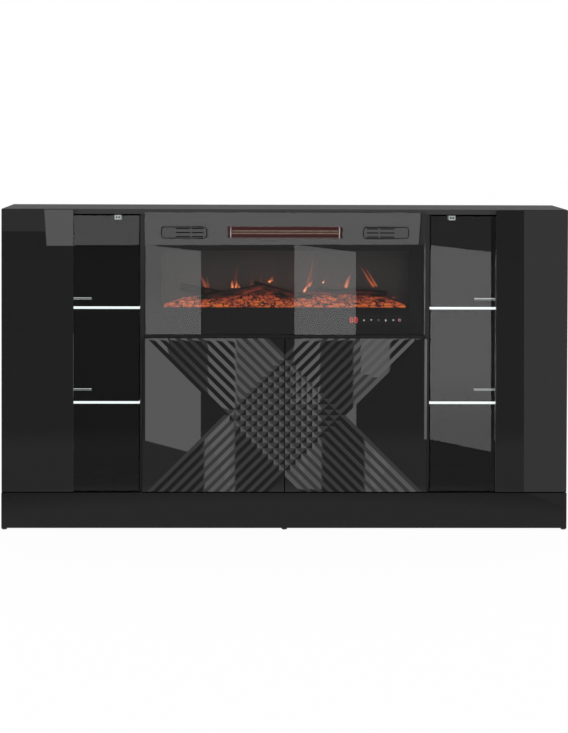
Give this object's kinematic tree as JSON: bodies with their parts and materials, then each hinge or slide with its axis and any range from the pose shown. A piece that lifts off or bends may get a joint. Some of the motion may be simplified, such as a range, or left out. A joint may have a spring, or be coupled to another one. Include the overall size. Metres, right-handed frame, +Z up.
{
  "type": "sideboard with electric fireplace",
  "caption": "Low black sideboard with an electric fireplace in the middle, carved doors below it, and lit glass-shelved compartments behind part-glazed doors at both ends.",
  "frame": {"origin": "middle of the footprint, at floor level", "axes": "+X to the right as seen by a person facing the doors, -Y towards that person, +Z up"},
  "size_m": [1.8, 0.4, 1.02],
  "materials": {
    "matt_board": "black melamine on 16 mm particle board, fine matt texture",
    "gloss_front": "black high-gloss lacquer on 18 mm fibreboard",
    "back_sheet": "black printed thin fibreboard, low sheen",
    "clear_glass": "clear float glass with polished edges",
    "face_glass": "clear tempered glass, its back black except at the window",
    "anodised_strip": "dark anodised extrusion, fine lengthwise grain",
    "nickel_steel": "nickel-plated pressed steel",
    "galvanised_steel": "galvanised sheet",
    "bright_steel": "polished aluminised steel",
    "black_steel": "black powder coat on sheet steel",
    "grille_wire": "heat-resistant black paint on wire",
    "motor_steel": "grey motor case",
    "blower_aluminium": "thin pressed blades",
    "mirror_foil": "mirror foil blades on a steel shaft",
    "glide_plastic": "moulded black polyethylene",
    "clear_bumper": "clear soft polyurethane",
    "clip_plastic": "light grey moulded plastic",
    "latch_plastic": "light grey moulded plastic",
    "plunger_plastic": "dark moulded plastic",
    "black_plastic": "moulded black plastic",
    "smoked_screen": "dark diffusing acrylic",
    "quartz_tube": "clear quartz with a coil inside",
    "white_ceramic": "white steatite ceramic",
    "circuit_board": "green solder mask",
    "ember_resin": "cast translucent resin, orange under black paint",
    "log_resin": "cast resin painted as charred wood",
    "touch_black": "black touch panel"
  },
  "bodies": {
    "cabinet": {"top_panel": "matt_board", "bottom_panel": "matt_board", "fireplace_shelf": "matt_board", "side_panels": "matt_board", "dividers": "matt_board", "back_panels": "back_sheet", "plinth_front": "gloss_front", "carcass_rails": "matt_board", "floor_glides": "glide_plastic", "cam_fittings": "nickel_steel", "door_bumpers": "clear_bumper", "glass_shelves": "clear_glass", "shelf_pins": "nickel_steel", "light_clips": "clip_plastic", "light_driver": "clip_plastic", "hinge_arms": "nickel_steel", "latch_housings": "latch_plastic", "fire_glass": "face_glass", "fire_frame": "black_steel", "vent_louvres": "black_plastic", "firebox_casing": "black_steel", "casing_decks": "black_steel", "flame_screen": "smoked_screen", "heater_grille": "grille_wire", "heater_tubes": "quartz_tube", "heater_supports": "white_ceramic", "heater_reflector": "bright_steel", "blower_cradle": "galvanised_steel", "blower_motor": "motor_steel", "rotor_bearings": "black_plastic", "rotor_motor": "motor_steel", "led_board": "circuit_board", "ember_bed": "ember_resin", "logs": "log_resin", "touch_panel": "touch_black", "fixing_brackets": "galvanised_steel", "bracket_screws": "nickel_steel", "power_inlet": "black_plastic"},
    "side_door_left": {"side_door_left": "gloss_front", "door_glass_left": "clear_glass", "pane_retainer_left": "anodised_strip", "side_door_hinge_cups_left": "nickel_steel"},
    "centre_door_left": {"centre_door_left": "gloss_front", "centre_door_hinge_cups_left": "nickel_steel"},
    "side_door_right": {"side_door_right": "gloss_front", "door_glass_right": "clear_glass", "pane_retainer_right": "anodised_strip", "side_door_hinge_cups_right": "nickel_steel"},
    "centre_door_right": {"centre_door_right": "gloss_front", "centre_door_hinge_cups_right": "nickel_steel"},
    "side_door_links_left": {"side_door_hinge_links_left": "nickel_steel"},
    "side_door_links_right": {"side_door_hinge_links_right": "nickel_steel"},
    "centre_door_links_left": {"centre_door_hinge_links_left": "nickel_steel"},
    "centre_door_links_right": {"centre_door_hinge_links_right": "nickel_steel"},
    "side_latch_left": {"side_latch_left_plunger": "plunger_plastic"},
    "side_latch_right": {"side_latch_right_plunger": "plunger_plastic"},
    "centre_latch_left": {"centre_latch_left_plunger": "plunger_plastic"},
    "centre_latch_right": {"centre_latch_right_plunger": "plunger_plastic"},
    "blower_wheel": {"blower_wheel": "blower_aluminium"},
    "flame_rotor": {"flame_rotor": "mirror_foil"}
  },
  "joints": [
    {"name": "side_door_left_hinge", "type": "hinge", "parent": "cabinet", "child": "side_door_left", "pos_m": [-0.894, -0.195, 0], "axis": [0, 0, -1], "range_deg": [0, 95]},
    {"name": "side_door_right_hinge", "type": "hinge", "parent": "cabinet", "child": "side_door_right", "pos_m": [0.894, -0.195, 0], "axis": [0, 0, 1], "range_deg": [0, 95]},
    {"name": "centre_door_left_hinge", "type": "hinge", "parent": "cabinet", "child": "centre_door_left", "pos_m": [-0.448, -0.195, 0], "axis": [0, 0, -1], "range_deg": [0, 95]},
    {"name": "centre_door_right_hinge", "type": "hinge", "parent": "cabinet", "child": "centre_door_right", "pos_m": [0.448, -0.195, 0], "axis": [0, 0, 1], "range_deg": [0, 95]},
    {"name": "side_door_left_link_pivot", "type": "hinge", "parent": "cabinet", "child": "side_door_links_left", "pos_m": [-0.873, -0.169, 0], "axis": [0, 0, 1], "range_deg": [0, 25]},
    {"name": "side_door_right_link_pivot", "type": "hinge", "parent": "cabinet", "child": "side_door_links_right", "pos_m": [0.873, -0.169, 0], "axis": [0, 0, -1], "range_deg": [0, 25]},
    {"name": "centre_door_left_link_pivot", "type": "hinge", "parent": "cabinet", "child": "centre_door_links_left", "pos_m": [-0.427, -0.169, 0], "axis": [0, 0, 1], "range_deg": [0, 25]},
    {"name": "centre_door_right_link_pivot", "type": "hinge", "parent": "cabinet", "child": "centre_door_links_right", "pos_m": [0.427, -0.169, 0], "axis": [0, 0, -1], "range_deg": [0, 25]},
    {"name": "side_latch_left_press", "type": "slide", "parent": "cabinet", "child": "side_latch_left", "axis": [0, 1, 0], "range_m": [0, 0.002], "stiffness_N_per_m": 900, "springref_m": -0.004},
    {"name": "side_latch_right_press", "type": "slide", "parent": "cabinet", "child": "side_latch_right", "axis": [0, 1, 0], "range_m": [0, 0.002], "stiffness_N_per_m": 900, "springref_m": -0.004},
    {"name": "centre_latch_left_press", "type": "slide", "parent": "cabinet", "child": "centre_latch_left", "axis": [0, 1, 0], "range_m": [0, 0.002], "stiffness_N_per_m": 900, "springref_m": -0.004},
    {"name": "centre_latch_right_press", "type": "slide", "parent": "cabinet", "child": "centre_latch_right", "axis": [0, 1, 0], "range_m": [0, 0.002], "stiffness_N_per_m": 900, "springref_m": -0.004},
    {"name": "blower_wheel_spin", "type": "hinge", "parent": "cabinet", "child": "blower_wheel", "pos_m": [0, -0.082, 0.9455], "axis": [1, 0, 0], "continuous": true},
    {"name": "flame_rotor_spin", "type": "hinge", "parent": "cabinet", "child": "flame_rotor", "pos_m": [0, -0.062, 0.734], "axis": [1, 0, 0], "continuous": true}
  ],
  "couplings": [
    {"joint": "side_door_left_link_pivot", "follows": "side_door_left_hinge", "ratio": 0.26316},
    {"joint": "side_door_right_link_pivot", "follows": "side_door_right_hinge", "ratio": 0.26316},
    {"joint": "centre_door_left_link_pivot", "follows": "centre_door_left_hinge", "ratio": 0.26316},
    {"joint": "centre_door_right_link_pivot", "follows": "centre_door_right_hinge", "ratio": 0.26316}
  ]
}
